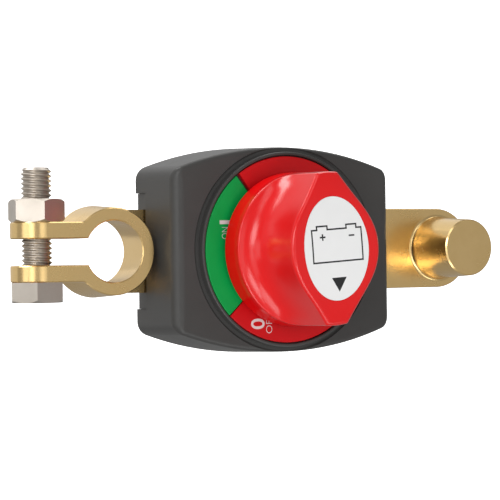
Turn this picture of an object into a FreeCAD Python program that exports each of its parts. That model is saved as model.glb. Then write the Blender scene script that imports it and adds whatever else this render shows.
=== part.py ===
import FreeCAD, Part

import math
import os

V = FreeCAD.Vector

# Battery terminal disconnect switch, in millimetres, +Z along the knob's axis.
# The battery clamp lies at -X, the cable post at +X, and z = 0 is the plane of the base.

# Housing
BODY_W = 69.0
BODY_APEX = 57.2
BODY_H = 21.7
BODY_ARC_R = 92.0
BODY_INSET = 0.9
CORNER_R = 4.0
SIDE_ROUND = 2.9
BOW_ROUND = 1.3
WALL = 2.4
ROOF_T = 2.2

# Dial, its lip and the groove round it
DIAL_MARGIN = 3.43
DIAL_R = BODY_APEX / 2 - DIAL_MARGIN
DIAL_T = 1.4
DIAL_SINK = 0.2
DIAL_FLOOR = BODY_H - DIAL_SINK
DIAL_TOP = DIAL_FLOOR + DIAL_T
DIAL_GAP = 0.28
DIAL_EDGE = 0.3
DIAL_HOLE_PLAY = 0.6
LIP_T = 0.9
LIP_RISE = 1.55
LIP_TOP = BODY_H + LIP_RISE
LIP_EDGE = 0.35
GROOVE_W = 1.55
GROOVE_D = 0.6
SECTOR_INNER = 12.1
SECTOR_FROM_ANGLE = 128.15
SECTOR_TO_ANGLE = 223.9
SECTOR_JOINT_ANGLE = 0.45
SECTOR_WIDE_JOINT_ANGLE = 2.15
SECTOR_PLAY = 0.3

# Knob, its grip's plan and its label given as shares of its radius
KNOB_TURN = 3.8
KNOB_SHOW = 4.57
KNOB_R = DIAL_R - KNOB_SHOW
KNOB_DRAFT = 0.65
KNOB_AIR = 1.9
KNOB_FOOT = DIAL_TOP + KNOB_AIR
KNOB_H = 23.0
CROWN_R = 108.0
KNOB_TOP = KNOB_FOOT + KNOB_H
KNOB_EDGE = 1.1
KNOB_FOOT_EDGE = 0.5
SKIRT_H = 7.2
SKIRT_TOP = KNOB_FOOT + SKIRT_H
SKIRT_RIM_EDGE = 0.5
SCOOP_OVER = 0.15
GRIP_SHARES = [(0.0, 0.643), (0.146, 0.63), (0.291, 0.586), (0.451, 0.502), (0.607, 0.393),
               (0.767, 0.279), (0.966, 0.15), (1.07, 0.085)]
LABEL_SHARES = (0.471, 0.655)
LABEL_A = LABEL_SHARES[0] * KNOB_R
LABEL_B = LABEL_SHARES[1] * KNOB_R
LABEL_T = 0.4
LABEL_PROUD = 0.05
LABEL_PLAY = 0.06

# Shaft, seal and rotor
SHAFT_R = 6.0
SHAFT_PLAY = 0.05
SHOULDER_RISE = 0.1
SHOULDER_Z = DIAL_TOP + SHOULDER_RISE
HUB_R = 10.8
DRIVE_W = 8.0
DRIVE_H = 14.0
DRIVE_TOP = SHOULDER_Z + DRIVE_H
DRIVE_PLAY = 0.03
SEAL_R = 0.8
KNOB_SCREW_R = 1.95
KNOB_SCREW_HEAD_R = 4.2
KNOB_SCREW_HEAD_T = 2.6
KNOB_SCREW_L = 11.0
KNOB_SCREW_FLOOR = 2.5
KNOB_SCREW_SLOT = 1.0
KNOB_SCREW_PLAY = 0.25

# Terminal bars
BAR_Z0 = 1.5
BAR_Z1 = 4.83
BAR_HALF_L = 11.2
BAR_HALF_R = 11.58

# Contacts
ROTOR_R = KNOB_R - 1.4
ROTOR_AIR = 0.97
ROTOR_DISC_T = 4.4
ROTOR_HUB_R = 10.5
ROTOR_SLOT_D = 4.0
ROTOR_EDGE = 0.6
PAD_R = 4.0
PAD_T = 0.8
PAD_X = ROTOR_R - PAD_R - 1.2
BAR_INNER_X = PAD_X - PAD_R - 1.0
ROTOR_Z = BAR_Z1 + PAD_T + ROTOR_AIR
BRIDGE_L = 2 * (PAD_X + PAD_R)
BRIDGE_W = 9.0
BRIDGE_T = 2.4
BRIDGE_AIR = 0.06
BRIDGE_Z = BAR_Z1 + PAD_T + BRIDGE_AIR
BRIDGE_CORNER = 1.5
BRIDGE_PLAY = 0.1
SPRING_INNER_R = 1.6
SPRING_OUTER_R = 4.1
SPRING_T = 0.7
SPRING_LAND_W = 0.3

# Clamp casting
RING_REACH = 12.77
RING_X = -(BODY_W / 2 + RING_REACH)
CLAMP_H = 13.86
RING_TOP_R = 11.56
RING_BASE_R = 12.36
BORE_TOP_R = 8.12
TAPER = 1.0 / 18.0
EAR_OUT = 7.8
EAR_IN = 3.45
EAR_BLEND = 1.6
CLAMP_EDGE = 0.3
BOLT_REACH = 19.07
BOLT_X = RING_X - BOLT_REACH
BOLT_R = 3.95
BOLT_PLAY = 0.3
BOLT_SHOW = 14.2
BOLT_TIP = EAR_OUT + BOLT_SHOW
BOLT_CHAMFER = 0.7
HEAD_T = 5.3
NUT_T = 6.0
NUT_PLAY = 0.05
HEX_AF = 13.1
HEX_OVER = 0.3
HEX_CHAMFER = 0.75
HEAD_TURN = 52.0
NUT_TURN = 36.0

# Cable post
POST_REACH = 26.82
POST_X = BODY_W / 2 + POST_REACH
POST_H = 16.17
POST_TOP_Z = BAR_Z1 + POST_H
POST_TOP_R = 8.1
POST_FOOT_R = 1.0
POST_EDGE = 0.35
BAR_EDGE = 0.25

# Base and its screws
NOTCH_MARGIN = 4.5
NOTCH_HALF = BAR_HALF_L + NOTCH_MARGIN
NOTCH_ROOF = 0.77
NOTCH_Z = BAR_Z1 + NOTCH_ROOF
BLOCK_BACK = 0.65
BLOCK_D = 5.9
BLOCK_IN_X = BODY_W / 2 - BLOCK_D
SEAM = 0.05
BOSS_R = 3.25
BOSS_IN = 10.5
BOSS_X = BODY_W / 2 - BOSS_IN
BOSS_WALL_Y = BODY_APEX / 2 - BODY_ARC_R + math.sqrt(BODY_ARC_R ** 2 - BOSS_X ** 2) - WALL
BOSS_Y = (BAR_HALF_R + BOSS_WALL_Y) / 2
BOSS_Z = 3.5
SCREW_R = 1.5
SCREW_PLAY = 0.05
SCREW_HEAD_R = 2.65
SCREW_HEAD_PLAY = 0.2
SCREW_HEAD_Z0 = 0.3
SCREW_HEAD_T = 1.9
SCREW_HEAD_Z1 = SCREW_HEAD_Z0 + SCREW_HEAD_T
SCREW_CROSS = 1.5
SCREW_CROSS_T = 0.35
SCREW_CROSS_D = 0.8
SCREW_L = 12.0

# How far a cut runs past the surface it opens
PAST = 1.0


def placed(shape, x=0.0, y=0.0, z=0.0):
    moved = shape.copy()
    moved.translate(V(x, y, z))
    return moved


def turned(shape, degrees):
    copy = shape.copy()
    copy.rotate(V(0, 0, 0), V(0, 0, 1), degrees)
    return copy


def cylinder(r, z0, z1, x=0.0, y=0.0):
    return Part.makeCylinder(r, z1 - z0, V(x, y, z0))


def cone(r0, r1, z0, z1, x=0.0, y=0.0):
    return Part.makeCone(r0, r1, z1 - z0, V(x, y, z0))


def box(x0, x1, y0, y1, z0, z1):
    return Part.makeBox(x1 - x0, y1 - y0, z1 - z0, V(x0, y0, z0))


def revolved(points):
    """A solid of revolution about Z from a closed list of (radius, z)."""
    wire = Part.makePolygon([V(r, 0, z) for r, z in points + points[:1]])
    return Part.Face(wire).revolve(V(0, 0, 0), V(0, 0, 1), 360)


def arc(p, q, s):
    return Part.Arc(V(*p), V(*q), V(*s)).toShape()


def body_outline(half_w, half_h, corner, z):
    """The body's plan: straight sides, bowed top and bottom, rounded corners."""
    arc_y = half_h - BODY_ARC_R
    cx = half_w - corner
    cy = arc_y + math.sqrt((BODY_ARC_R - corner) ** 2 - cx ** 2)
    k = BODY_ARC_R / (BODY_ARC_R - corner)
    tx, ty = cx * k, arc_y + (cy - arc_y) * k
    lean = math.atan2(ty - cy, tx - cx) / 2
    mx, my = cx + corner * math.cos(lean), cy + corner * math.sin(lean)
    edges = [
        arc((tx, ty, z), (0, half_h, z), (-tx, ty, z)),
        arc((-tx, ty, z), (-mx, my, z), (-half_w, cy, z)),
        Part.makeLine(V(-half_w, cy, z), V(-half_w, -cy, z)),
        arc((-half_w, -cy, z), (-mx, -my, z), (-tx, -ty, z)),
        arc((-tx, -ty, z), (0, -half_h, z), (tx, -ty, z)),
        arc((tx, -ty, z), (mx, -my, z), (half_w, -cy, z)),
        Part.makeLine(V(half_w, -cy, z), V(half_w, cy, z)),
        arc((half_w, cy, z), (mx, my, z), (tx, ty, z)),
    ]
    return Part.Wire(edges)


def drafted_body(inward, z0, z1, corner):
    """The body's form between two heights, set in from the outside by a wall."""
    wires = []
    for z in (z0, z1):
        inset = inward + BODY_INSET * z / BODY_H
        wires.append(body_outline(BODY_W / 2 - inset, BODY_APEX / 2 - inset, corner, z))
    return Part.makeLoft(wires, True, True)


def edges_at(shape, z, tolerance=1e-4):
    return [e for e in shape.Edges
            if abs(e.BoundBox.ZMin - z) < tolerance and abs(e.BoundBox.ZMax - z) < tolerance]


def boss_places():
    return [(sx * BOSS_X, sy * BOSS_Y) for sx in (-1, 1) for sy in (-1, 1)]


def rounded(shape, radii):
    """A shape with some edges rounded together, from a list of (edge number, radius, radius)."""
    document = FreeCAD.newDocument("rounding")
    plain = document.addObject("Part::Feature", "plain")
    plain.Shape = shape
    fillet = document.addObject("Part::Fillet", "fillet")
    fillet.Base = plain
    fillet.Edges = radii
    document.recompute()
    result = fillet.Shape.copy()
    FreeCAD.closeDocument(document.Name)
    return result


def rounded_front(body):
    """The body with its front edge rounded, wider along the straight sides than along the bows."""
    side_x = BODY_W / 2 - BODY_INSET - 0.1 * CORNER_R
    radii = []
    for number, edge in enumerate(body.Edges, 1):
        if edges_at(edge, BODY_H):
            ends = [edge.valueAt(p) for p in (edge.FirstParameter, edge.LastParameter)]
            rounds = [SIDE_ROUND if abs(end.x) > side_x else BOW_ROUND for end in ends]
            radii.append((number, rounds[0], rounds[1]))
    return rounded(body, radii)


def make_front_cover():
    outside = rounded_front(drafted_body(0.0, 0.0, BODY_H, CORNER_R))
    lip_in = DIAL_R + DIAL_GAP
    lip_out = lip_in + LIP_T
    groove_out = lip_out + GROOVE_W
    groove_low = BODY_H - GROOVE_D
    clear_z = LIP_TOP + PAST
    groove = revolved([
        (lip_out - LIP_EDGE, groove_low),
        (groove_out - 0.35 * GROOVE_W, groove_low),
        (groove_out - 0.08 * GROOVE_W, groove_low + 0.45 * GROOVE_D),
        (groove_out, BODY_H),
        (groove_out + GROOVE_D, clear_z),
        (lip_out - LIP_EDGE, clear_z),
    ])
    shell = outside.cut(groove)
    lip = revolved([
        (lip_in, DIAL_FLOOR - 0.7 * ROOF_T),
        (lip_out, DIAL_FLOOR - 0.7 * ROOF_T),
        (lip_out, LIP_TOP - LIP_EDGE),
        (lip_out - 0.3 * LIP_EDGE, LIP_TOP - 0.3 * LIP_EDGE),
        (lip_out - LIP_EDGE, LIP_TOP),
        (lip_in + 0.6 * LIP_EDGE, LIP_TOP),
        (lip_in, LIP_TOP - 0.6 * LIP_EDGE),
    ])
    shell = shell.fuse(lip)
    shell = shell.cut(cylinder(lip_in, DIAL_FLOOR, clear_z))
    roof = DIAL_FLOOR - ROOF_T
    shell = shell.cut(drafted_body(WALL, 0.0, roof, CORNER_R / 2))
    for x, y in boss_places():
        shell = shell.fuse(cylinder(BOSS_R, BOSS_Z, roof + ROOF_T / 4, x, y))
    for x, y in boss_places():
        shell = shell.cut(cylinder(SCREW_R, BOSS_Z - PAST, SCREW_HEAD_Z1 + SCREW_L + PAST, x, y))
    seal_r = SHAFT_R + SHAFT_PLAY + 2 * SEAL_R
    shell = shell.cut(cylinder(SHAFT_R + SHAFT_PLAY, roof - PAST, DIAL_TOP))
    shell = shell.cut(cylinder(seal_r, DIAL_FLOOR - 2 * SEAL_R, DIAL_TOP))
    for side in (-1, 1):
        x0, x1 = sorted((side * (BODY_W / 2 + PAST), side * (BODY_W / 2 - WALL - PAST)))
        shell = shell.cut(box(x0, x1, -NOTCH_HALF, NOTCH_HALF, -PAST, NOTCH_Z))
    return shell.removeSplitter()


def make_base_plate():
    floor = drafted_body(WALL + SEAM, 0.0, BAR_Z0, CORNER_R / 2)
    inside = drafted_body(WALL + SEAM, 0.0, BOSS_Z, CORNER_R / 2)
    for side, half in ((-1, BAR_HALF_L), (1, BAR_HALF_R)):
        x0, x1 = sorted((side * BLOCK_IN_X, side * (BODY_W / 2 - BLOCK_BACK)))
        block = box(x0, x1, -(NOTCH_HALF - SEAM), NOTCH_HALF - SEAM, 0.0, NOTCH_Z - SEAM)
        cut0, cut1 = sorted((side * (BLOCK_IN_X - PAST), side * (BODY_W / 2 + PAST)))
        tunnel = box(cut0, cut1, -(half + SEAM), half + SEAM, BAR_Z0, BAR_Z1 + SEAM)
        floor = floor.fuse(block.cut(tunnel))
    for x, y in boss_places():
        floor = floor.fuse(cylinder(BOSS_R, 0.0, BOSS_Z, x, y).common(inside))
    for x, y in boss_places():
        floor = floor.cut(cylinder(SCREW_HEAD_R + SCREW_HEAD_PLAY, -PAST, SCREW_HEAD_Z1, x, y))
        floor = floor.cut(cylinder(SCREW_R + SCREW_HEAD_PLAY, -PAST, BOSS_Z + PAST, x, y))
    return floor.removeSplitter()


def sector(r0, r1, a0, a1, z0, z1):
    """A ring segment between two radii and two angles in degrees."""
    def at(r, a):
        t = math.radians(a)
        return (r * math.cos(t), r * math.sin(t), z0)
    mid = (a0 + a1) / 2
    edges = [
        arc(at(r1, a0), at(r1, mid), at(r1, a1)),
        Part.makeLine(V(*at(r1, a1)), V(*at(r0, a1))),
        arc(at(r0, a1), at(r0, mid), at(r0, a0)),
        Part.makeLine(V(*at(r0, a0)), V(*at(r1, a0))),
    ]
    return Part.Face(Part.Wire(edges)).extrude(V(0, 0, z1 - z0))


def dial_disc():
    disc = cylinder(DIAL_R, DIAL_FLOOR, DIAL_TOP)
    return disc.makeFillet(DIAL_EDGE, edges_at(disc, DIAL_TOP))


def make_dial_red():
    disc = dial_disc().cut(cylinder(SHAFT_R + DIAL_HOLE_PLAY, DIAL_FLOOR - PAST, DIAL_TOP + PAST))
    start = SECTOR_FROM_ANGLE - SECTOR_WIDE_JOINT_ANGLE
    end = SECTOR_TO_ANGLE + SECTOR_JOINT_ANGLE
    opening = sector(SECTOR_INNER, DIAL_R + PAST, start, end, DIAL_FLOOR - PAST, DIAL_TOP + PAST)
    return disc.cut(opening)


def make_dial_green():
    start = SECTOR_FROM_ANGLE + SECTOR_JOINT_ANGLE
    end = SECTOR_TO_ANGLE - SECTOR_JOINT_ANGLE
    inner = SECTOR_INNER + SECTOR_PLAY
    return dial_disc().common(sector(inner, DIAL_R + PAST, start, end, DIAL_FLOOR, DIAL_TOP))


def spline(points):
    curve = Part.BSplineCurve()
    curve.interpolate([V(*p) for p in points])
    return curve


def grip_half_width(y):
    """The grip's half width at a distance along it, read from its plan."""
    mirrored = [(-x, w) for x, w in GRIP_SHARES[1:3]][::-1] + GRIP_SHARES
    plan = spline([(x * KNOB_R, w * KNOB_R, 0) for x, w in mirrored])
    lo, hi = plan.FirstParameter, plan.LastParameter
    for _ in range(50):
        mid = (lo + hi) / 2
        if plan.value(mid).x < abs(y):
            lo = mid
        else:
            hi = mid
    return plan.value(lo).y


def under_crown(rise):
    """All that lies under the knob's crowned top, moved up by a rise."""
    reach = KNOB_R + PAST
    middle = V(-reach, 0, KNOB_TOP - CROWN_R)
    barrel = Part.makeCylinder(CROWN_R + rise, 2 * reach, middle, V(1, 0, 0))
    barrel.rotate(middle, V(1, 0, 0), 180)
    return barrel


def crest(y):
    """The height of the crowned top at a distance along the grip."""
    return KNOB_TOP - CROWN_R + math.sqrt(CROWN_R ** 2 - y ** 2)


def on_crown(edge):
    lo, hi = edge.FirstParameter, edge.LastParameter
    points = [edge.valueAt(lo + share * (hi - lo)) for share in (0.0, 0.3, 0.7, 1.0)]
    return all(abs(point.z - crest(point.y)) < 0.001 for point in points)


def scoop():
    """What is scooped from one side of the knob: sections across the grip, joined along it."""
    sections = []
    far = 1.2 * KNOB_R
    top = KNOB_TOP + PAST
    rim_r = KNOB_R + SCOOP_OVER
    shares = [0.0, 0.185, 0.37, 0.545, 0.71, 0.845, 0.95, 1.04]
    for share in [-n for n in shares[:0:-1]] + shares:
        y = share * KNOB_R
        w = grip_half_width(y)
        reach = math.sqrt(rim_r ** 2 - min(abs(y), 0.95 * KNOB_R) ** 2)
        d = reach - w
        high = crest(y) + SCOOP_OVER
        rise = high - SKIRT_TOP
        bow = Part.BezierCurve()
        bow.setPoles([
            V(w, y, high),
            V(w + 0.05 * d, y, high - 0.62 * rise),
            V(w + 0.2 * d, y, SKIRT_TOP + 0.05 * rise),
            V(reach, y, SKIRT_TOP),
        ])
        sections.append(Part.Wire([
            Part.makeLine(V(w, y, top), V(w, y, high)),
            bow.toShape(),
            Part.makeLine(V(reach, y, SKIRT_TOP), V(far, y, SKIRT_TOP)),
            Part.makeLine(V(far, y, SKIRT_TOP), V(far, y, top)),
            Part.makeLine(V(far, y, top), V(w, y, top)),
        ]))
    return Part.makeLoft(sections, True, False)


def oval(play):
    """The label's oval, with its long axis along Y, as a column through the knob's top."""
    z = SKIRT_TOP
    curve = Part.Ellipse(V(0, LABEL_B + play, z), V(LABEL_A + play, 0, z), V(0, 0, z))
    return Part.Face(Part.Wire(curve.toShape())).extrude(V(0, 0, KNOB_TOP + PAST - z))


def make_knob():
    blank = cone(KNOB_R, KNOB_R - KNOB_DRAFT, KNOB_FOOT, KNOB_TOP).common(under_crown(0.0))
    side = scoop()
    knob = blank.cut(side).cut(turned(side, 180))
    radii = []
    for number, edge in enumerate(knob.Edges, 1):
        if on_crown(edge) and edge.BoundBox.XLength < KNOB_R:
            radii.append((number, KNOB_EDGE, KNOB_EDGE))
        elif edge.BoundBox.ZMin > SKIRT_TOP - SCOOP_OVER and edge.BoundBox.YLength > KNOB_R / 2:
            radii.append((number, SKIRT_RIM_EDGE, SKIRT_RIM_EDGE))
    knob = rounded(knob, radii)
    knob = knob.makeFillet(KNOB_FOOT_EDGE, edges_at(knob, KNOB_FOOT))
    knob = knob.fuse(cylinder(HUB_R, SHOULDER_Z, KNOB_FOOT + PAST))
    socket = DRIVE_W / 2 + DRIVE_PLAY
    knob = knob.cut(box(-socket, socket, -socket, socket, SHOULDER_Z - PAST, DRIVE_TOP + SEAM))
    seat = DRIVE_TOP + KNOB_SCREW_FLOOR
    knob = knob.cut(cylinder(KNOB_SCREW_R + KNOB_SCREW_PLAY, DRIVE_TOP - PAST, KNOB_TOP))
    knob = knob.cut(cylinder(KNOB_SCREW_HEAD_R + KNOB_SCREW_PLAY, seat, KNOB_TOP + PAST))
    recess = oval(LABEL_PLAY).cut(under_crown(LABEL_PROUD - LABEL_T))
    return turned(knob.cut(recess), KNOB_TURN)


def make_knob_label():
    film = oval(0.0).common(under_crown(LABEL_PROUD))
    return turned(film.cut(under_crown(LABEL_PROUD - LABEL_T)), KNOB_TURN)


def make_knob_screw():
    seat = DRIVE_TOP + KNOB_SCREW_FLOOR
    top = seat + KNOB_SCREW_HEAD_T
    screw = cylinder(KNOB_SCREW_HEAD_R, seat, top)
    screw = screw.fuse(cylinder(KNOB_SCREW_R, seat - KNOB_SCREW_L, seat))
    reach, half = KNOB_SCREW_HEAD_R + PAST, KNOB_SCREW_SLOT / 2
    slot = box(-reach, reach, -half, half, top - 0.45 * KNOB_SCREW_HEAD_T, top + PAST)
    return turned(screw.cut(slot), KNOB_TURN)


def make_rotor():
    disc_top = ROTOR_Z + ROTOR_DISC_T
    neck = DIAL_FLOOR - ROOF_T - 2 * SHAFT_PLAY
    half = DRIVE_W / 2
    rotor = cylinder(ROTOR_R, ROTOR_Z, disc_top)
    rotor = rotor.makeFillet(ROTOR_EDGE, edges_at(rotor, disc_top))
    rotor = rotor.fuse(cylinder(ROTOR_HUB_R, disc_top - PAST, neck))
    rotor = rotor.fuse(cylinder(SHAFT_R, neck - PAST, SHOULDER_Z))
    rotor = rotor.fuse(box(-half, half, -half, half, SHOULDER_Z - PAST, DRIVE_TOP))
    screw_end = DRIVE_TOP + KNOB_SCREW_FLOOR - KNOB_SCREW_L
    rotor = rotor.cut(cylinder(KNOB_SCREW_R + SCREW_PLAY, screw_end - PAST, DRIVE_TOP + PAST))
    reach, width = BRIDGE_L / 2 + BRIDGE_PLAY, BRIDGE_W / 2 + BRIDGE_PLAY
    slot = box(-width, width, -reach, reach, ROTOR_Z - PAST, ROTOR_Z + ROTOR_SLOT_D)
    return turned(rotor.cut(slot).removeSplitter(), KNOB_TURN)


def make_contact_bridge():
    half_w, half_l = BRIDGE_W / 2, BRIDGE_L / 2
    bar = box(-half_w, half_w, -half_l, half_l, BRIDGE_Z, BRIDGE_Z + BRIDGE_T)
    upright = [e for e in bar.Edges if abs(e.BoundBox.ZLength - BRIDGE_T) < 0.01]
    return turned(bar.makeFillet(BRIDGE_CORNER, upright), KNOB_TURN)


def make_contact_spring():
    low = BRIDGE_Z + BRIDGE_T
    high = ROTOR_Z + ROTOR_SLOT_D
    return revolved([
        (SPRING_INNER_R, high - SPRING_T),
        (SPRING_INNER_R, high),
        (SPRING_INNER_R + SPRING_LAND_W, high),
        (SPRING_OUTER_R, low + SPRING_T),
        (SPRING_OUTER_R, low),
        (SPRING_OUTER_R - SPRING_LAND_W, low),
    ])


def make_shaft_seal():
    return Part.makeTorus(SHAFT_R + SHAFT_PLAY + SEAL_R, SEAL_R, V(0, 0, DIAL_FLOOR - SEAL_R))


def make_pad(side):
    return cylinder(PAD_R, BAR_Z1, BAR_Z1 + PAD_T, side * PAD_X)


def crosswise(r, y0, y1):
    """A cylinder along the clamp bolt's axis, between two places along Y."""
    return Part.makeCylinder(r, y1 - y0, V(BOLT_X, y0, CLAMP_H / 2), V(0, 1, 0))


def make_clamp_casting():
    ring = cone(RING_BASE_R, RING_TOP_R, 0.0, CLAMP_H, RING_X)
    ears = box(BOLT_X, RING_X, -EAR_OUT, EAR_OUT, 0.0, CLAMP_H)
    ears = ears.fuse(crosswise(CLAMP_H / 2, -EAR_OUT, EAR_OUT)).removeSplitter()
    casting = ring.fuse(ears)
    upright = [e for e in casting.Edges
               if e.BoundBox.ZLength > 0.99 * CLAMP_H
               and RING_X - RING_BASE_R < e.CenterOfMass.x < RING_X - RING_BASE_R / 3
               and abs(abs(e.CenterOfMass.y) - EAR_OUT) < 0.1 * EAR_OUT]
    casting = casting.makeFillet(EAR_BLEND, upright)
    bore_base_r = BORE_TOP_R + CLAMP_H * TAPER
    below, above = bore_base_r + PAST * TAPER, BORE_TOP_R - PAST * TAPER
    casting = casting.cut(cone(below, above, -PAST, CLAMP_H + PAST, RING_X))
    casting = casting.cut(box(BOLT_X - CLAMP_H, RING_X, -EAR_IN, EAR_IN, -PAST, CLAMP_H + PAST))
    rims = edges_at(casting, CLAMP_H) + edges_at(casting, 0.0)
    casting = casting.makeChamfer(CLAMP_EDGE, rims)
    casting = casting.cut(crosswise(BOLT_R + BOLT_PLAY, -EAR_OUT - PAST, EAR_OUT + PAST))
    tab = box(RING_X, -BAR_INNER_X, -BAR_HALF_L, BAR_HALF_L, BAR_Z0, BAR_Z1)
    joint_r = (bore_base_r + RING_BASE_R) / 2
    return casting.fuse(tab.cut(cylinder(joint_r, -PAST, CLAMP_H, RING_X)))


def make_post_terminal():
    bar = box(BAR_INNER_X, POST_X, -BAR_HALF_R, BAR_HALF_R, BAR_Z0, BAR_Z1)
    bar = bar.fuse(cylinder(BAR_HALF_R, BAR_Z0, BAR_Z1, POST_X)).removeSplitter()
    rim = [e for e in edges_at(bar, BAR_Z1) if e.BoundBox.XMax > POST_X - BAR_EDGE]
    bar = bar.makeChamfer(BAR_EDGE, rim)
    foot_r = POST_TOP_R + POST_H * TAPER
    post = cone(foot_r, POST_TOP_R, BAR_Z1, POST_TOP_Z, POST_X)
    post = post.makeChamfer(POST_EDGE, edges_at(post, POST_TOP_Z))
    whole = bar.fuse(post)
    foot = [e for e in edges_at(whole, BAR_Z1)
            if abs(e.BoundBox.XLength - 2 * foot_r) < 0.01]
    return whole.makeFillet(POST_FOOT_R, foot)


def hexagon(y0, y1, turn, both_ends):
    """A hexagonal prism on the bolt's axis, its ends chamfered as turned."""
    r = HEX_AF / math.sqrt(3)
    z = CLAMP_H / 2
    angles = [math.radians(turn + 60 * i) for i in range(7)]
    corners = [V(BOLT_X + r * math.cos(a), y0, z + r * math.sin(a)) for a in angles]
    prism = Part.Face(Part.makePolygon(corners)).extrude(V(0, y1 - y0, 0))
    flat_r, far_r = HEX_AF / 2, r + HEX_OVER
    drop = HEX_CHAMFER * (far_r - flat_r) / (r - flat_r)
    profile = [(0, y0), (flat_r, y0), (far_r, y0 + drop)]
    profile += [(far_r, y1 - drop), (flat_r, y1)] if both_ends else [(far_r, y1)]
    profile += [(0, y1), (0, y0)]
    wire = Part.makePolygon([V(BOLT_X + a, b, z) for a, b in profile])
    turning = Part.Face(wire).revolve(V(BOLT_X, 0, z), V(0, 1, 0), 360)
    return prism.common(turning)


def make_clamp_bolt():
    shank = crosswise(BOLT_R, -EAR_OUT, BOLT_TIP)
    tip = [e for e in shank.Edges if e.BoundBox.YMin > BOLT_TIP - 0.01]
    head = hexagon(-EAR_OUT - HEAD_T, -EAR_OUT, HEAD_TURN, False)
    return head.fuse(shank.makeChamfer(BOLT_CHAMFER, tip))


def make_clamp_nut():
    nut = hexagon(EAR_OUT, EAR_OUT + NUT_T, NUT_TURN, True)
    return nut.cut(crosswise(BOLT_R + NUT_PLAY, EAR_OUT - PAST, EAR_OUT + NUT_T + PAST))


def make_housing_screw(x, y):
    head = cylinder(SCREW_HEAD_R, SCREW_HEAD_Z0, SCREW_HEAD_Z1)
    head = head.makeFillet(SCREW_HEAD_T / 4, edges_at(head, SCREW_HEAD_Z0))
    shank = cylinder(SCREW_R - SCREW_PLAY, SCREW_HEAD_Z1 - SCREW_HEAD_T / 4, SCREW_HEAD_Z1 + SCREW_L)
    screw = head.fuse(shank)
    arm, half = SCREW_CROSS, SCREW_CROSS_T
    for turn in (0, 90):
        bar = box(-arm, arm, -half, half, -PAST, SCREW_HEAD_Z0 + SCREW_CROSS_D)
        screw = screw.cut(turned(bar, turn))
    return placed(screw, x, y)


def main():
    os.makedirs("parts", exist_ok=True)
    nodes = {
        "front_cover": make_front_cover(),
        "base_plate": make_base_plate(),
        "dial_red": make_dial_red(),
        "dial_green": make_dial_green(),
        "knob": make_knob(),
        "knob_label": make_knob_label(),
        "knob_screw": make_knob_screw(),
        "rotor": make_rotor(),
        "contact_bridge": make_contact_bridge(),
        "contact_spring": make_contact_spring(),
        "shaft_seal": make_shaft_seal(),
        "contact_pad_left": make_pad(-1),
        "contact_pad_right": make_pad(1),
        "clamp_casting": make_clamp_casting(),
        "post_terminal": make_post_terminal(),
        "clamp_bolt": make_clamp_bolt(),
        "clamp_nut": make_clamp_nut(),
    }
    for number, (x, y) in enumerate(boss_places(), 1):
        nodes[f"housing_screw_{number}"] = make_housing_screw(x, y)
    for name, shape in nodes.items():
        if not shape.isValid():
            raise ValueError(f"{name} is not a valid solid")
        print(name, len(shape.Solids), len(shape.Faces), round(shape.Volume, 1))
        shape.exportStep(f"parts/{name}.step")


main()
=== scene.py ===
"""Looks of a battery terminal disconnect switch, built round its CAD frame.

Lengths are in millimetres in the fields of the classes and in metres in Blender.
"""

import logging
import math
from dataclasses import dataclass, field
from enum import Enum
from typing import Any, Optional, Union

import bmesh
import bpy
from mathutils import Matrix, Vector


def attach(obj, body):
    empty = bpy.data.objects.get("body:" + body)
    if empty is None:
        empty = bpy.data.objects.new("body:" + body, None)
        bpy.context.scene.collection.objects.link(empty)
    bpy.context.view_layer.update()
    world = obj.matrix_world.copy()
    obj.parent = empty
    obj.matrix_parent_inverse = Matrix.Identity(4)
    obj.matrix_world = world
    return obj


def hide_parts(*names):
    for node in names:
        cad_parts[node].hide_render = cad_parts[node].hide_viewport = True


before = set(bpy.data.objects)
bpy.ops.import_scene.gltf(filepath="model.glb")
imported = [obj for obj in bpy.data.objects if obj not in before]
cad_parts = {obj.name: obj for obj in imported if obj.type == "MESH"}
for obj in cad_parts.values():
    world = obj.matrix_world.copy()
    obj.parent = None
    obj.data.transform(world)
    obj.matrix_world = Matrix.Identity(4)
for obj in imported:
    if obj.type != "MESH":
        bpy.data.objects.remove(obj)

LOG = logging.getLogger("switch")
MM = 0.001
Colour = tuple[float, float, float]
Number = Union[int, float, "Sock"]


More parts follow.
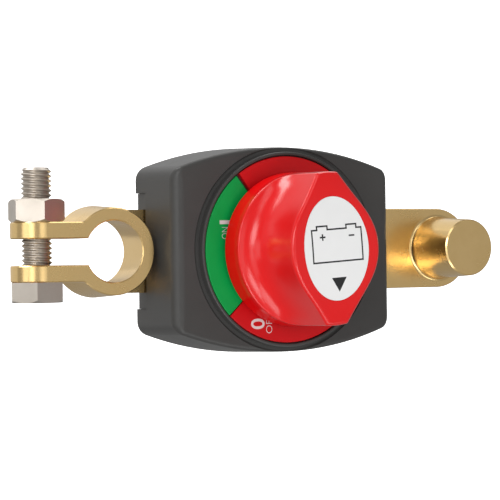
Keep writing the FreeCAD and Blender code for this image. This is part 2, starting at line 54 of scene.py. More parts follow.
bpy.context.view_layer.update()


class Sock:
    """A shader socket that adds a Math node for each operation on it."""

    def __init__(self, graph: "Graph", socket: bpy.types.NodeSocket) -> None:
        """Wraps a socket of a graph."""
        self.graph = graph
        self.socket = socket

    def math(self, operation: str, *others: Number, swap: bool = False) -> "Sock":
        """Adds a Math node.

        Args:
            operation: The node's operation.
            others: The operands after this one.
            swap: Whether this one comes second.

        Returns:
            The node's result.
        """
        operands = [self, *others]
        if swap:
            operands.reverse()
        made = self.graph.node(
            "ShaderNodeMath", {"operation": operation}, dict(enumerate(operands)))
        return Sock(self.graph, made.outputs[0])

    def __add__(self, other: Number) -> "Sock":
        """self + other."""
        return self.math("ADD", other)

    __radd__ = __add__

    def __sub__(self, other: Number) -> "Sock":
        """self - other."""
        return self.math("SUBTRACT", other)

    def __rsub__(self, other: Number) -> "Sock":
        """other - self."""
        return self.math("SUBTRACT", other, swap=True)

    def __mul__(self, other: Number) -> "Sock":
        """self * other."""
        return self.math("MULTIPLY", other)

    __rmul__ = __mul__

    def __truediv__(self, other: Number) -> "Sock":
        """self / other."""
        return self.math("DIVIDE", other)

    def __rtruediv__(self, other: Number) -> "Sock":
        """other / self."""
        return self.math("DIVIDE", other, swap=True)

    def __lt__(self, other: Number) -> "Sock":
        """1 where self is less than other, and 0 elsewhere."""
        return self.math("LESS_THAN", other)

    def __gt__(self, other: Number) -> "Sock":
        """1 where self is greater than other, and 0 elsewhere."""
        return self.math("GREATER_THAN", other)

    def __abs__(self) -> "Sock":
        """The absolute value."""
        return self.math("ABSOLUTE")

    def least(self, other: Number) -> "Sock":
        """The smaller of the two."""
        return self.math("MINIMUM", other)

    def most(self, other: Number) -> "Sock":
        """The larger of the two."""
        return self.math("MAXIMUM", other)

    def ramp(self, low: float, high: float) -> "Sock":
        """Stretches a range to 0 to 1, and keeps it within that.

        Args:
            low: The value that becomes 0.
            high: The value that becomes 1.

        Returns:
            The stretched value.
        """
        made = self.graph.node(
            "ShaderNodeMapRange", {"clamp": True},
            {"Value": self, "From Min": low, "From Max": high, "To Min": 0.0, "To Max": 1.0})
        return Sock(self.graph, made.outputs["Result"])


class Graph:
    """The node tree of a material or a world, with short ways to add to it."""

    def __init__(self, owner: Union[bpy.types.Material, bpy.types.World]) -> None:
        """Empties the owner's node tree and works in it."""
        owner.use_nodes = True
        self.owner = owner
        self.tree = owner.node_tree
        self.tree.nodes.clear()

    @classmethod
    def of_material(cls, name: str) -> "Graph":
        """The graph of a new material of this name."""
        return cls(bpy.data.materials.new(name))

    def node(self, kind: str, settings: Optional[dict[str, Any]] = None,
             inputs: Optional[dict[Union[str, int], Any]] = None) -> bpy.types.Node:
        """Adds a node.

        Args:
            kind: The node's type.
            settings: Its properties, set first.
            inputs: Values, or sockets to link, by the input's name or number.

        Returns:
            The new node.
        """
        made = self.tree.nodes.new(kind)
        for key, value in (settings or {}).items():
            setattr(made, key, value)
        for key, value in (inputs or {}).items():
            if isinstance(value, Sock):
                self.tree.links.new(value.socket, made.inputs[key])
            else:
                made.inputs[key].default_value = value
        return made

    def place(self) -> tuple[Sock, Sock, Sock]:
        """Reads the point on the surface.

        Returns:
            Its x, y and z in millimetres.
        """
        coords = self.node("ShaderNodeTexCoord")
        split = self.node("ShaderNodeSeparateXYZ", None, {0: Sock(self, coords.outputs["Object"])})
        x, y, z = (Sock(self, out) / MM for out in split.outputs)
        return x, y, z

    def noise(self, size: float, detail: float = 3.0, stretch: Colour = (1, 1, 1)) -> Sock:
        """Smooth noise.

        Args:
            size: The size of its features, in millimetres.
            detail: How many finer layers it has.
            stretch: How much finer it is along each axis.

        Returns:
            Values about 0.5.
        """
        coords = self.node("ShaderNodeTexCoord")
        scaled = self.node("ShaderNodeVectorMath", {"operation": "MULTIPLY"},
                           {0: Sock(self, coords.outputs["Object"]), 1: stretch})
        made = self.node("ShaderNodeTexNoise", None, {
            "Vector": Sock(self, scaled.outputs[0]), "Scale": 1.0 / (size * MM), "Detail": detail})
        return Sock(self, made.outputs["Fac"])

    def mix(self, factor: Number, a: Any, b: Any) -> Sock:
        """Mixes two colours.

        Args:
            factor: How much there is of the second, from 0 to 1.
            a: The first colour, or a socket that gives it.
            b: The second colour, or a socket that gives it.

        Returns:
            The mixed colour.
        """
        a, b = (v if isinstance(v, Sock) else (*v, 1.0) for v in (a, b))
        made = self.node("ShaderNodeMix", {"data_type": "RGBA"}, {0: factor, 6: a, 7: b})
        return Sock(self, made.outputs[2])

    def bump(self, height: Sock, depth: float) -> Sock:
        """A normal from a height.

        Args:
            height: The height, from 0 to 1.
            depth: What 1 stands for, in millimetres.

        Returns:
            The normal.
        """
        made = self.node("ShaderNodeBump", None,
                         {"Strength": 1.0, "Distance": depth * MM, "Height": height})
        return Sock(self, made.outputs[0])

    def surface(self, **inputs: Any) -> bpy.types.Material:
        """Ends the material in a Principled shader.

        Args:
            inputs: Its inputs, with _ for a space in a name.

        Returns:
            The material.
        """
        named = {key.replace("_", " "): (*v, 1.0) if isinstance(v, tuple) else v
                 for key, v in inputs.items()}
        shader = self.node("ShaderNodeBsdfPrincipled", None, named)
        self.node("ShaderNodeOutputMaterial", None, {0: Sock(self, shader.outputs[0])})
        return self.owner


class Slot(Enum):
    """The record's material slots."""

    HOUSING = "housing_plastic"
    RED = "dial_red"
    GREEN = "dial_green"
    KNOB = "knob_red"
    LABEL = "label_white"
    ZINC = "zinc_steel"
    ROTOR = "rotor_plastic"
    COPPER = "contact_copper"
    SPRING = "spring_steel"
    RUBBER = "seal_rubber"
    SILVER = "contact_silver"
    BRASS = "brass"
    STAINLESS = "stainless"


@dataclass(frozen=True)
class Moulded:
    """A moulded plastic or rubber surface with a fine grain.

    It may be polished above a height, as on the knob's grip.
    """

    colour: Colour
    roughness: float = 0.45
    grain: float = 0.35
    depth: float = 0.012
    unevenness: float = 0.06
    specular: float = 0.35
    polish: float = 0.0
    polish_from: tuple[float, float] = (0.0, 1.0)
    polish_roughness: float = 0.2
    cloud_size: float = 9.0
    mottle: float = 0.12

    def material(self, name: str) -> bpy.types.Material:
        """Builds the material.

        Args:
            name: The material's name.

        Returns:
            The material.
        """
        g = Graph.of_material(name)
        cloud = g.noise(self.cloud_size, 4.0)
        darker = tuple(c * (1.0 - self.unevenness) for c in self.colour)
        lighter = tuple(min(1.0, c * (1.0 + self.unevenness)) for c in self.colour)
        fine = g.noise(self.grain, 2.0)
        extra: dict[str, Any] = {}
        if self.polish:
            _, _, z = g.place()
            extra = {"Coat_Weight": z.ramp(*self.polish_from) * self.polish,
                     "Coat_Roughness": self.polish_roughness}
        return g.surface(
            Base_Color=g.mix(cloud.ramp(0.3, 0.7), darker, lighter),
            Roughness=self.roughness + (cloud - 0.5) * self.mottle,
            Specular_IOR_Level=self.specular,
            Normal=g.bump(fine, self.depth), **extra)


@dataclass(frozen=True)
class Metal:
    """A metal surface with faint streaks and patches of duller skin."""

    colour: Colour
    dull: Colour
    roughness: float = 0.22
    streak: Colour = (1.0, 1.0, 1.0)
    grain: float = 0.5
    depth: float = 0.003
    patch_size: float = 6.0
    patch_dulling: float = 0.14
    grain_dulling: float = 0.06

    def material(self, name: str) -> bpy.types.Material:
        """Builds the material.

        Args:
            name: The material's name.

        Returns:
            The material.
        """
        g = Graph.of_material(name)
        patch = g.noise(self.patch_size, 5.0)
        fine = g.noise(self.grain, 3.0, self.streak)
        return g.surface(
            Base_Color=g.mix(patch.ramp(0.35, 0.75), self.colour, self.dull),
            Metallic=1.0,
            Roughness=(self.roughness + (patch - 0.5) * self.patch_dulling
                       + (fine - 0.5) * self.grain_dulling),
            Normal=g.bump(fine, self.depth))


@dataclass(frozen=True)
class Printed:
    """The knob's oval label: pale film with a battery sign and a pointer in black.

    Boxes are given as their lowest and highest place across, then up, and the pointer as its
    half width, its top and its tip.
    """

    film: Colour
    ink: Colour
    film_roughness: float = 0.5
    ink_gloss: float = 0.1
    ink_height: float = 1.5
    relief: float = 0.004
    paper_size: float = 4.0
    paper_shade: float = 0.985
    turn: float = 3.8
    line: float = 0.42
    shift: float = 0.28
    case: tuple[float, float, float, float] = (-7.5, 7.47, -3.35, 5.05)
    caps: tuple[tuple[float, float, float, float], ...] = (
        (-5.93, -2.78, 4.0, 5.98), (2.98, 5.98, 4.0, 6.0))
    signs: tuple[float, float] = (-4.35, 4.42)
    sign_v: float = 3.12
    arm: float = 0.86
    pointer: tuple[float, float, float] = (2.25, -7.5, -11.2)

    @staticmethod
    def outside(u: Sock, v: Sock, box: tuple[float, float, float, float]) -> Sock:
        """How far a point is outside a box, as the larger of the two ways.

        Args:
            u: The point's place across.
            v: The point's place up.
            box: The box's lowest and highest u, then v.

        Returns:
            The distance, negative inside.
        """
        u0, u1, v0, v1 = box
        across = abs(u - (u0 + u1) / 2) - (u1 - u0) / 2
        up = abs(v - (v0 + v1) / 2) - (v1 - v0) / 2
        return across.most(up)

    def sign(self, u: Sock, v: Sock, centre: float, upright: bool) -> Sock:
        """Draws a minus, or a plus where it has its upright bar.

        Args:
            u: The point's place across.
            v: The point's place up.
            centre: The sign's middle, across.
            upright: Whether it has the upright bar.

        Returns:
            A mask, 1 on the sign.
        """
        half = self.line / 2
        bar = self.outside(u, v, (centre - self.arm, centre + self.arm,
                                  self.sign_v - half, self.sign_v + half))
        if upright:
            post = self.outside(u, v, (centre - half, centre + half,
                                       self.sign_v - self.arm, self.sign_v + self.arm))
            bar = bar.least(post)
        return bar < 0.0

    def mask(self, u: Sock, v: Sock) -> Sock:
        """Draws the battery, its signs and the pointer.

        Args:
            u: The point's place across.
            v: The point's place up.

        Returns:
            A mask, 1 where there is ink.
        """
        battery = self.outside(u, v, self.case)
        for cap in self.caps:
            battery = battery.least(self.outside(u, v, cap))
        mask = abs(battery) < self.line / 2
        mask = mask.most(self.sign(u, v, self.signs[0], True))
        mask = mask.most(self.sign(u, v, self.signs[1], False))
        half, top, tip = self.pointer
        slant = abs(u) / half + (top - v) / (top - tip)
        return mask.most((slant < 1.0) * (v < top))

    def material(self, name: str) -> bpy.types.Material:
        """Builds the material.

        Args:
            name: The material's name.

        Returns:
            The material.
        """
        g = Graph.of_material(name)
        x, y, _ = g.place()
        c, s = math.cos(math.radians(self.turn)), math.sin(math.radians(self.turn))
        u = x * c + y * s - self.shift
        v = y * c - x * s
        mask = self.mask(u, v)
        paper = g.noise(self.paper_size)
        shaded = tuple(f * self.paper_shade for f in self.film)
        film = g.mix(paper.ramp(0.3, 0.7), self.film, shaded)
        fine = g.noise(0.5, 2.0)
        return g.surface(
            Base_Color=g.mix(mask, film, self.ink),
            Roughness=self.film_roughness - mask * self.ink_gloss + (paper - 0.5) * 0.08,
            Normal=g.bump(fine + mask * self.ink_height, self.relief))


FINISHES: dict[Slot, Union[Moulded, Metal, Printed]] = {
    Slot.HOUSING: Moulded(
        (0.049, 0.048, 0.046), roughness=0.40, grain=0.30, depth=0.006, unevenness=0.05,
        specular=0.36),
    Slot.RED: Moulded(
        (0.55, 0.003, 0.006), roughness=0.38, grain=0.40, depth=0.006, unevenness=0.04,
        specular=0.25),
    Slot.GREEN: Moulded(
        (0.002, 0.315, 0.060), roughness=0.38, grain=0.40, depth=0.006, unevenness=0.05,
        specular=0.2),
    Slot.KNOB: Moulded(
        (0.72, 0.002, 0.003), roughness=0.35, grain=0.50, depth=0.0008, unevenness=0.02,
        specular=0.08, polish=1.0, polish_from=(29.8, 30.4)),
    Slot.LABEL: Printed((0.83, 0.83, 0.825), (0.012, 0.012, 0.013)),
    Slot.ZINC: Metal((0.62, 0.62, 0.60), (0.50, 0.50, 0.50), roughness=0.35),
    Slot.ROTOR: Moulded((0.20, 0.20, 0.20), roughness=0.5),
    Slot.COPPER: Metal((0.80, 0.42, 0.26), (0.62, 0.32, 0.20), roughness=0.3),
    Slot.SPRING: Metal((0.45, 0.45, 0.46), (0.36, 0.36, 0.37), roughness=0.35),
    Slot.RUBBER: Moulded((0.02, 0.02, 0.02), roughness=0.65),
    Slot.SILVER: Metal((0.82, 0.80, 0.76), (0.70, 0.68, 0.64), roughness=0.28),
    Slot.BRASS: Metal(
        (0.87, 0.615, 0.277), (0.83, 0.58, 0.25), roughness=0.25, grain=0.28, depth=0.0010),
    Slot.STAINLESS: Metal(
        (0.56, 0.51, 0.45), (0.50, 0.45, 0.39), roughness=0.40, streak=(1, 6, 1), grain=0.6,
        depth=0.0012),
}


def dress(obj: bpy.types.Object, slot: Slot, finish: Optional[bpy.types.Material] = None) -> None:
    """Gives a mesh one finish all over.

    Args:
        obj: The mesh object.
        slot: The record's slot that it belongs to.
        finish: The material, or None for the slot's own.
    """
    obj.data.materials.clear()
    obj.data.materials.append(finish or MATERIALS[slot])


def mesh_object(name: str, bm: bmesh.types.BMesh) -> bpy.types.Object:
    """Turns a bmesh into an object in the scene.

    Args:
        name: The object's name.
        bm: The bmesh, which is freed.

    Returns:
        The object.
    """
    mesh = bpy.data.meshes.new(name)
    bm.to_mesh(mesh)
    bm.free()
    obj = bpy.data.objects.new(name, mesh)
    bpy.context.scene.collection.objects.link(obj)
    return obj


def evaluated_copy(obj: bpy.types.Object, name: str) -> bpy.types.Object:
    """Replaces an object that has modifiers by a plain mesh of its result.

    Args:
        obj: The object, which is removed.
        name: The new object's name.

    Returns:
        The new object.
    """
    bpy.context.view_layer.update()
    depsgraph = bpy.context.evaluated_depsgraph_get()
    mesh = bpy.data.meshes.new_from_object(obj.evaluated_get(depsgraph))
    mesh.name = name
    obj.modifiers.clear()
    bpy.data.objects.remove(obj)
    made = bpy.data.objects.new(name, mesh)
    bpy.context.scene.collection.objects.link(made)
    return made


class FieldSock:
    """A geometry field that adds a Math node for each operation on it."""

    def __init__(self, tree: "ThreadTree", socket: bpy.types.NodeSocket) -> None:
        """Wraps a socket of a tree."""
        self.tree = tree
        self.socket = socket

    def math(self, operation: str, *others: Any, swap: bool = False) -> "FieldSock":
        """Adds a Math node.

        Args:
            operation: The node's operation.
            others: The operands after this one.
            swap: Whether this one comes second.

        Returns:
            The node's result.
        """
        operands = [self, *others]
        if swap:
            operands.reverse()
        made = self.tree.node("ShaderNodeMath", {"operation": operation}, dict(enumerate(operands)))
        return FieldSock(self.tree, made.outputs[0])

    def __add__(self, other: Any) -> "FieldSock":
        """self + other."""
        return self.math("ADD", other)

    __radd__ = __add__

    def __sub__(self, other: Any) -> "FieldSock":
        """self - other."""
        return self.math("SUBTRACT", other)

    def __rsub__(self, other: Any) -> "FieldSock":
        """other - self."""
        return self.math("SUBTRACT", other, swap=True)

    def __mul__(self, other: Any) -> "FieldSock":
        """self * other."""
        return self.math("MULTIPLY", other)

    __rmul__ = __mul__

    def __truediv__(self, other: Any) -> "FieldSock":
        """self / other."""
        return self.math("DIVIDE", other)


class ThreadTree:
    """Geometry Nodes that wrap a grid into a screw thread along Z.

    The grid's rows follow the helix, so that each ridge and groove has an edge of its own.
    """

    ROWS_PER_PITCH = 16
    AROUND = 72
    CREST = 0.125
    WELD = 1e-6

    def __init__(self, name: str, material: bpy.types.Material) -> None:
        """Builds the tree.

        Args:
            name: The node group's name.
            material: What the thread is made of.
        """
        self.group = bpy.data.node_groups.new(name, "GeometryNodeTree")
        self.sockets: dict[str, str] = {}
        face = self.group.interface
        face.new_socket("Geometry", in_out="INPUT", socket_type="NodeSocketGeometry")
        for label in ("Length", "Pitch", "Outer radius", "Depth", "Tip chamfer"):
            made = face.new_socket(label, in_out="INPUT", socket_type="NodeSocketFloat")
            self.sockets[label] = made.identifier
        rows = face.new_socket("Rows", in_out="INPUT", socket_type="NodeSocketInt")
        self.sockets["Rows"] = rows.identifier
        face.new_socket("Geometry", in_out="OUTPUT", socket_type="NodeSocketGeometry")
        self.source = self.node("NodeGroupInput")
        self.build(material)

    def node(self, kind: str, settings: Optional[dict[str, Any]] = None,
             inputs: Optional[dict[Union[str, int], Any]] = None) -> bpy.types.Node:
        """Adds a node.

        Args:
            kind: The node's type.
            settings: Its properties, set first.
            inputs: Values, or sockets to link, by the input's name or number.

        Returns:
            The new node.
        """
        made = self.group.nodes.new(kind)
        for key, value in (settings or {}).items():
            setattr(made, key, value)
        for key, value in (inputs or {}).items():
            if isinstance(value, FieldSock):
                self.group.links.new(value.socket, made.inputs[key])
            else:
                made.inputs[key].default_value = value
        return made

    def given(self, label: str) -> FieldSock:
        """The group's input of this name."""
        return FieldSock(self, self.source.outputs[label])

    def build(self, material: bpy.types.Material) -> None:
        """Adds the nodes from the grid to the output."""
        length, pitch = self.given("Length"), self.given("Pitch")
        radius, depth, chamfer = (self.given(n) for n in ("Outer radius", "Depth", "Tip chamfer"))
        grid = self.node("GeometryNodeMeshGrid", None, {
            "Size X": 1.0, "Size Y": 1.0,
            "Vertices X": self.AROUND + 1, "Vertices Y": self.given("Rows")})
        at = self.node("GeometryNodeInputPosition")
        split = self.node("ShaderNodeSeparateXYZ", None, {0: FieldSock(self, at.outputs[0])})
        turn = FieldSock(self, split.outputs[0]) + 0.5
        pitches = (FieldSock(self, split.outputs[1]) + 0.5) * (
            (self.given("Rows") - 1.0) / self.ROWS_PER_PITCH)
        along = (pitches - turn) * pitch
        along = along.math("MAXIMUM", 0.0).math("MINIMUM", length)
        ridge = (pitches.math("FRACT") - 0.5).math("ABSOLUTE") * 2.0
        ridge = (ridge - self.CREST) / (1.0 - 2.0 * self.CREST)
        ridge = ridge.math("MAXIMUM", 0.0).math("MINIMUM", 1.0)
        to_tip = (length - along).math("MAXIMUM", 0.0)
        limit = radius - chamfer.math("SUBTRACT", to_tip).math("MAXIMUM", 0.0)
        r = (radius - depth * (1.0 - ridge)).math("MINIMUM", limit)
        angle = turn * (2 * math.pi)
        place = self.node("ShaderNodeCombineXYZ", None, {
            0: r * angle.math("COSINE"), 1: r * angle.math("SINE"), 2: along})
        wrapped = self.node("GeometryNodeSetPosition", None, {
            "Geometry": FieldSock(self, grid.outputs["Mesh"]),
            "Position": FieldSock(self, place.outputs[0])})
        welded = self.node("GeometryNodeMergeByDistance", None, {
            "Geometry": FieldSock(self, wrapped.outputs[0]), "Distance": self.WELD})
        plain = self.node("GeometryNodeRealizeInstances", None,
                          {0: FieldSock(self, welded.outputs[0])})
        painted = self.node("GeometryNodeSetMaterial", None, {
            "Geometry": FieldSock(self, plain.outputs[0]), "Material": material})
        out = self.node("NodeGroupOutput")
        self.group.links.new(painted.outputs[0], out.inputs[0])

    def make(self, name: str, length: float, pitch: float, radius: float, depth: float,
             chamfer: float) -> bpy.types.Object:
        """Makes one thread as a plain mesh along Z from the origin.

        Args:
            name: The object's name.
            length: The thread's length in millimetres.
            pitch: From one ridge to the next.
            radius: Over the ridges.
            depth: From a ridge to a groove.
            chamfer: How far the tip is set in.

        Returns:
            The mesh object.
        """
        holder = bpy.data.objects.new(name + "_grid", bpy.data.meshes.new(name + "_grid"))
        bpy.context.scene.collection.objects.link(holder)
        modifier = holder.modifiers.new("thread", "NODES")
        modifier.node_group = self.group
        sizes = {"Length": length, "Pitch": pitch, "Outer radius": radius, "Depth": depth,
                 "Tip chamfer": chamfer}
        for label, value in sizes.items():
            modifier[self.sockets[label]] = value * MM
        modifier[self.sockets["Rows"]] = math.ceil((length / pitch + 1) * self.ROWS_PER_PITCH) + 1
        return evaluated_copy(holder, name)


@dataclass
class Assembly:
    """Some of the switch's pieces, with the finish of each CAD node."""

    nodes: dict[str, Slot]

    def build(self) -> None:
        """Dresses the CAD nodes and adds what the CAD leaves out."""
        for name, slot in self.nodes.items():
            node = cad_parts[name]
            dress(node, slot)
            LOG.info("%s: %s, %d faces", name, slot.value, len(node.data.polygons))
        self.add()

    def add(self) -> None:
        """Adds the assembly's own pieces, if it has any."""


def joined(name: str, objects: list[bpy.types.Object]) -> bpy.types.Object:
    """Joins meshes into one object.

    Args:
        name: The new object's name.
        objects: What to join, which is removed.

    Returns:
        The joined object.
    """
    bm = bmesh.new()
    for obj in objects:
        bm.from_mesh(obj.data)
        bpy.data.objects.remove(obj)
    return mesh_object(name, bm)


def smooth(obj: bpy.types.Object, degrees: float) -> None:
    """Shades a mesh smoothly.

    Args:
        obj: The mesh object.
        degrees: The angle past which an edge stays sharp.
    """
    bm = bmesh.new()
    bm.from_mesh(obj.data)
    for face in bm.faces:
        face.smooth = True
    limit = math.radians(degrees)
    for edge in bm.edges:
        edge.smooth = len(edge.link_faces) == 2 and edge.calc_face_angle(0.0) < limit
    bm.to_mesh(obj.data)
    bm.free()


@dataclass(frozen=True)
class Word:
    """A word or figure printed on the dial, read along +Y with its foot towards +X."""

    text: str
    foot_x: float
    start_y: float
    height: float
    width: float
    bold: float = 0.0


@dataclass
class Housing(Assembly):
    """The cover, the base and the screws that hold them together."""

    nodes: dict[str, Slot] = field(default_factory=lambda: {
        "front_cover": Slot.HOUSING,
        "base_plate": Slot.HOUSING,
        **{f"housing_screw_{n}": Slot.ZINC for n in (1, 2, 3, 4)},
    })


@dataclass
class Dial(Assembly):
    """The two-coloured dial and its print."""

    nodes: dict[str, Slot] = field(default_factory=lambda: {
        "dial_red": Slot.RED, "dial_green": Slot.GREEN})
    face_z: float = 22.9
    thickness: float = 0.02
    sunk: float = 0.002
    colour: Colour = (0.70, 0.58, 0.58)
    words: tuple[Word, ...] = (
        Word("I", -16.7, 6.86, 4.2, 1.02),
        Word("ON", -18.45, 2.95, 1.85, 3.1, -0.014),
        Word("0", -7.65, -21.25, 4.15, 2.8, 0.012),
        Word("OFF", -5.35, -22.45, 1.85, 4.9, -0.014),
    )

    def word(self, word: Word) -> bpy.types.Object:
        """Makes one word as a thin mesh on the dial.

        Args:
            word: The word, its place and its size.

        Returns:
            The mesh object.
        """
        curve = bpy.data.curves.new("text_" + word.text, "FONT")
        curve.body = word.text
        curve.extrude = 0.5
        curve.offset = word.bold
        holder = bpy.data.objects.new("text_" + word.text, curve)
        bpy.context.scene.collection.objects.link(holder)
        made = evaluated_copy(holder, "print_" + word.text)
        co = [v.co.copy() for v in made.data.vertices]
        x0, x1 = min(c.x for c in co), max(c.x for c in co)
        y0, y1 = min(c.y for c in co), max(c.y for c in co)
        for vertex in made.data.vertices:
            across = (vertex.co.x - x0) / (x1 - x0) * word.width
            up = (vertex.co.y - y0) / (y1 - y0) * word.height
            raised = self.thickness if vertex.co.z > 0 else self.sunk
            vertex.co = Vector((word.foot_x - up, word.start_y + across,
                                self.face_z + raised)) * MM
        return made

    def add(self) -> None:
        """Prints the words on the dial."""
        whole = joined("dial_print", [self.word(w) for w in self.words])
        ink = Moulded(self.colour, roughness=0.5, grain=0.4, depth=0.003, unevenness=0.03,
                      specular=0.3).material("dial_ink")
        dress(whole, Slot.LABEL, ink)
        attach(whole, "housing")
        LOG.info("dial print: %d faces", len(whole.data.polygons))


@dataclass
class Knob(Assembly):
    """The knob, its label and the screw below it."""

    nodes: dict[str, Slot] = field(default_factory=lambda: {
        "knob": Slot.KNOB, "knob_label": Slot.LABEL, "knob_screw": Slot.ZINC})


@dataclass
class Mechanism(Assembly):
    """The rotor, the contacts and the seal inside the housing."""

    nodes: dict[str, Slot] = field(default_factory=lambda: {
        "rotor": Slot.ROTOR,
        "contact_bridge": Slot.COPPER,
        "contact_spring": Slot.SPRING,
        "shaft_seal": Slot.RUBBER,
        "contact_pad_left": Slot.SILVER,
        "contact_pad_right": Slot.SILVER,
    })


@dataclass
class CableTerminal(Assembly):
    """The bar with the tapered post."""

    nodes: dict[str, Slot] = field(default_factory=lambda: {"post_terminal": Slot.BRASS})


@dataclass
class BatteryClamp(Assembly):
    """The clamp casting and its nut, with a threaded bolt in place of the plain one."""

    nodes: dict[str, Slot] = field(default_factory=lambda: {
        "clamp_casting": Slot.BRASS, "clamp_nut": Slot.STAINLESS})
    axis_x: float = -66.34
    axis_z: float = 6.93
    seat_y: float = -7.8
    tip_y: float = 22.0
    radius: float = 3.95
    pitch: float = 1.25
    depth: float = 0.62
    chamfer: float = 0.8
    cut_over: float = 0.02
    end_over: float = 0.01
    sharp_past: float = 38.0
    slot: Slot = Slot.STAINLESS
    rolled: Metal = Metal(
        (0.56, 0.51, 0.45), (0.50, 0.45, 0.39), roughness=0.52, grain=0.6, depth=0.0002)

    def head(self) -> bpy.types.Object:
        """Copies the CAD bolt's head and leaves out its shank.

        Returns:
            The mesh object.
        """
        bm = bmesh.new()
        bm.from_mesh(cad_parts["clamp_bolt"].data)
        low = (self.seat_y + self.cut_over) * MM
        shank = [v for v in bm.verts if v.co.y > low]
        bmesh.ops.delete(bm, geom=shank, context="VERTS")
        return mesh_object("bolt_head", bm)

    def cap(self) -> bpy.types.Object:
        """Makes the flat end of the shank.

        Returns:
            The mesh object.
        """
        bm = bmesh.new()
        ring = bmesh.ops.create_circle(
            bm, cap_ends=True, segments=ThreadTree.AROUND,
            radius=(self.radius - self.chamfer + self.end_over) * MM)
        bmesh.ops.translate(bm, verts=ring["verts"], vec=(0, 0, (self.tip_y - self.seat_y) * MM))
        return mesh_object("bolt_end", bm)

    def add(self) -> None:
        """Builds the bolt in place of its CAD node."""
        tree = ThreadTree("screw_thread", self.rolled.material("rolled_thread"))
        thread = tree.make("bolt_thread", self.tip_y - self.seat_y, self.pitch, self.radius,
                           self.depth, self.chamfer)
        along_y = Matrix.Translation(Vector((self.axis_x, self.seat_y, self.axis_z)) * MM)
        along_y = along_y @ Matrix.Rotation(math.radians(-90), 4, "X")
        end = self.cap()
        for piece in (thread, end):
            piece.data.transform(along_y)
        whole = joined("clamp_bolt_threaded", [thread, end, self.head()])
        dress(whole, self.slot)
        smooth(whole, self.sharp_past)
        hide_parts("clamp_bolt")
        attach(whole, "housing")
        LOG.info("clamp bolt: %d faces", len(whole.data.polygons))


@dataclass(frozen=True)
class SoftBox:
    """A square soft light that faces the switch.

    Its tilt is off straight up and its azimuth from +X, in degrees; its side and its reach
    from the switch are in metres.
    """

    name: str
    tilt: float
    azimuth: float
    side: float
    radiance: float
    reach: float = 1.0

    def build(self) -> bpy.types.Object:
        """Makes the light.

        Returns:
            The light's object.
        """
        data = bpy.data.lights.new(self.name, "AREA")
        data.shape = "SQUARE"
        data.size = self.side
        data.energy = self.radiance * math.pi * self.side ** 2
        obj = bpy.data.objects.new(self.name, data)
        bpy.context.scene.collection.objects.link(obj)
        t, a = math.radians(self.tilt), math.radians(self.azimuth)
        back = Vector((math.sin(t) * math.cos(a), math.sin(t) * math.sin(a), math.cos(t)))
        right = Vector((0, 1, 0)).cross(back).normalized()
        turned = Matrix((right, back.cross(right), back)).transposed().to_4x4()
        obj.matrix_world = Matrix.Translation(back * self.reach) @ turned
        return obj


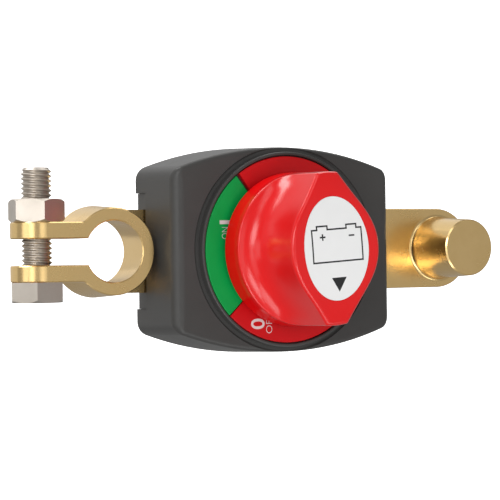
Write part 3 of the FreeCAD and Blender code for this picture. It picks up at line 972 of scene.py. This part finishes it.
@dataclass
class Studio:
    """Camera, floor, soft boxes all round and an even surround.

    Turn, tilt and roll place the camera about its target, in degrees and millimetres. The
    floor lets light through from below, as a lit glass table does.
    """

    turn: float = 28.982
    tilt: float = -0.176
    roll: float = -0.738
    lens: float = 128.8
    distance: float = 503.7
    target: Colour = (0.842, 0.017, 0.0)
    floor_z: float = -0.18
    floor_half: float = 6.0
    floor_cloud: float = 400.0
    glow: float = 1.05
    surround: float = 0.44
    lights: tuple[SoftBox, ...] = (
        SoftBox("overhead", 0.0, 0.0, 0.40, 0.92),
        SoftBox("high_right", 30.0, 0.0, 0.50, 0.13),
        SoftBox("overhead_near", 27.0, 240.0, 0.30, 5.00),
        SoftBox("high_far", 52.0, 112.5, 0.45, 1.50),
        SoftBox("high_left_far", 52.0, 157.5, 0.40, 5.30),
        SoftBox("high_left", 45.0, 180.0, 0.32, 1.10),
        SoftBox("high_left_near", 52.0, 202.5, 0.45, 0.85),
        SoftBox("high_near_left", 52.0, 247.5, 0.40, 3.20),
        SoftBox("high_near_right", 52.0, 292.5, 0.45, 1.90),
        SoftBox("side_left", 74.0, 180.0, 0.40, 1.20),
        SoftBox("low_far_right", 106.0, 67.5, 0.60, 2.00),
        SoftBox("low_far_left", 106.0, 112.5, 0.45, 7.00),
        SoftBox("low_left", 106.0, 157.5, 0.60, 0.25),
        SoftBox("under_far", 140.0, 72.0, 0.75, 0.45),
        SoftBox("under_left", 142.0, 160.0, 1.20, 0.32),
        SoftBox("below", 179.0, 0.0, 0.50, 0.13),
    )

    def camera(self) -> bpy.types.Object:
        """Makes the camera at the photograph's viewpoint.

        Returns:
            The camera's object.
        """
        a, e, r = (math.radians(v) for v in (self.turn, self.tilt, self.roll))
        back = Vector((-math.sin(a) * math.cos(e), math.sin(e), math.cos(a) * math.cos(e)))
        right = Vector((math.cos(a), 0, math.sin(a)))
        up = back.cross(right)
        right, up = (right * math.cos(r) + up * math.sin(r), up * math.cos(r) - right * math.sin(r))
        data = bpy.data.cameras.new("camera")
        data.lens = self.lens
        data.sensor_width = 36.0
        data.clip_start = 0.01
        data.clip_end = 20.0
        obj = bpy.data.objects.new("camera", data)
        bpy.context.scene.collection.objects.link(obj)
        turned = Matrix((right, up, back)).transposed().to_4x4()
        place = (Vector(self.target) + back * self.distance) * MM
        obj.matrix_world = Matrix.Translation(place) @ turned
        bpy.context.scene.camera = obj
        return obj

    def floor(self) -> bpy.types.Object:
        """Makes the pale floor.

        Returns:
            The floor's object.
        """
        bm = bmesh.new()
        bmesh.ops.create_grid(bm, x_segments=1, y_segments=1, size=self.floor_half)
        obj = mesh_object("floor", bm)
        obj.location.z = self.floor_z
        g = Graph.of_material("floor")
        cloud = g.noise(self.floor_cloud, 2.0)
        obj.data.materials.append(g.surface(
            Base_Color=g.mix(cloud, (0.84, 0.84, 0.84), (0.86, 0.86, 0.86)), Roughness=0.9,
            Emission_Color=(1.0, 1.0, 1.0), Emission_Strength=self.glow))
        obj.visible_diffuse = obj.visible_glossy = obj.visible_shadow = False
        return obj

    def sky(self) -> bpy.types.World:
        """Makes the even surround.

        Returns:
            The world.
        """
        world = bpy.data.worlds.new("surround")
        g = Graph(world)
        light = g.node("ShaderNodeBackground", None, {"Strength": self.surround})
        g.node("ShaderNodeOutputWorld", None, {0: Sock(g, light.outputs[0])})
        return world

    def build(self) -> None:
        """Sets up the whole studio."""
        scene = bpy.context.scene
        scene.view_settings.view_transform = "Standard"
        scene.view_settings.look = "None"
        scene.world = self.sky()
        self.floor()
        for light in self.lights:
            light.build()
        self.camera()
        LOG.info("studio: %d lights", len(self.lights))


MATERIALS: dict[Slot, bpy.types.Material] = {
    slot: finish.material(slot.value + "_finish") for slot, finish in FINISHES.items()}

ASSEMBLIES: tuple[type[Assembly], ...] = (
    Housing, Dial, Knob, Mechanism, BatteryClamp, CableTerminal)


def main() -> None:
    """Builds every piece, then the studio."""
    logging.basicConfig(level=logging.INFO, format="%(name)s: %(message)s")
    for assembly in ASSEMBLIES:
        LOG.info("building %s", assembly.__name__)
        assembly().build()
    Studio().build()


if __name__ == "__main__":
    main()
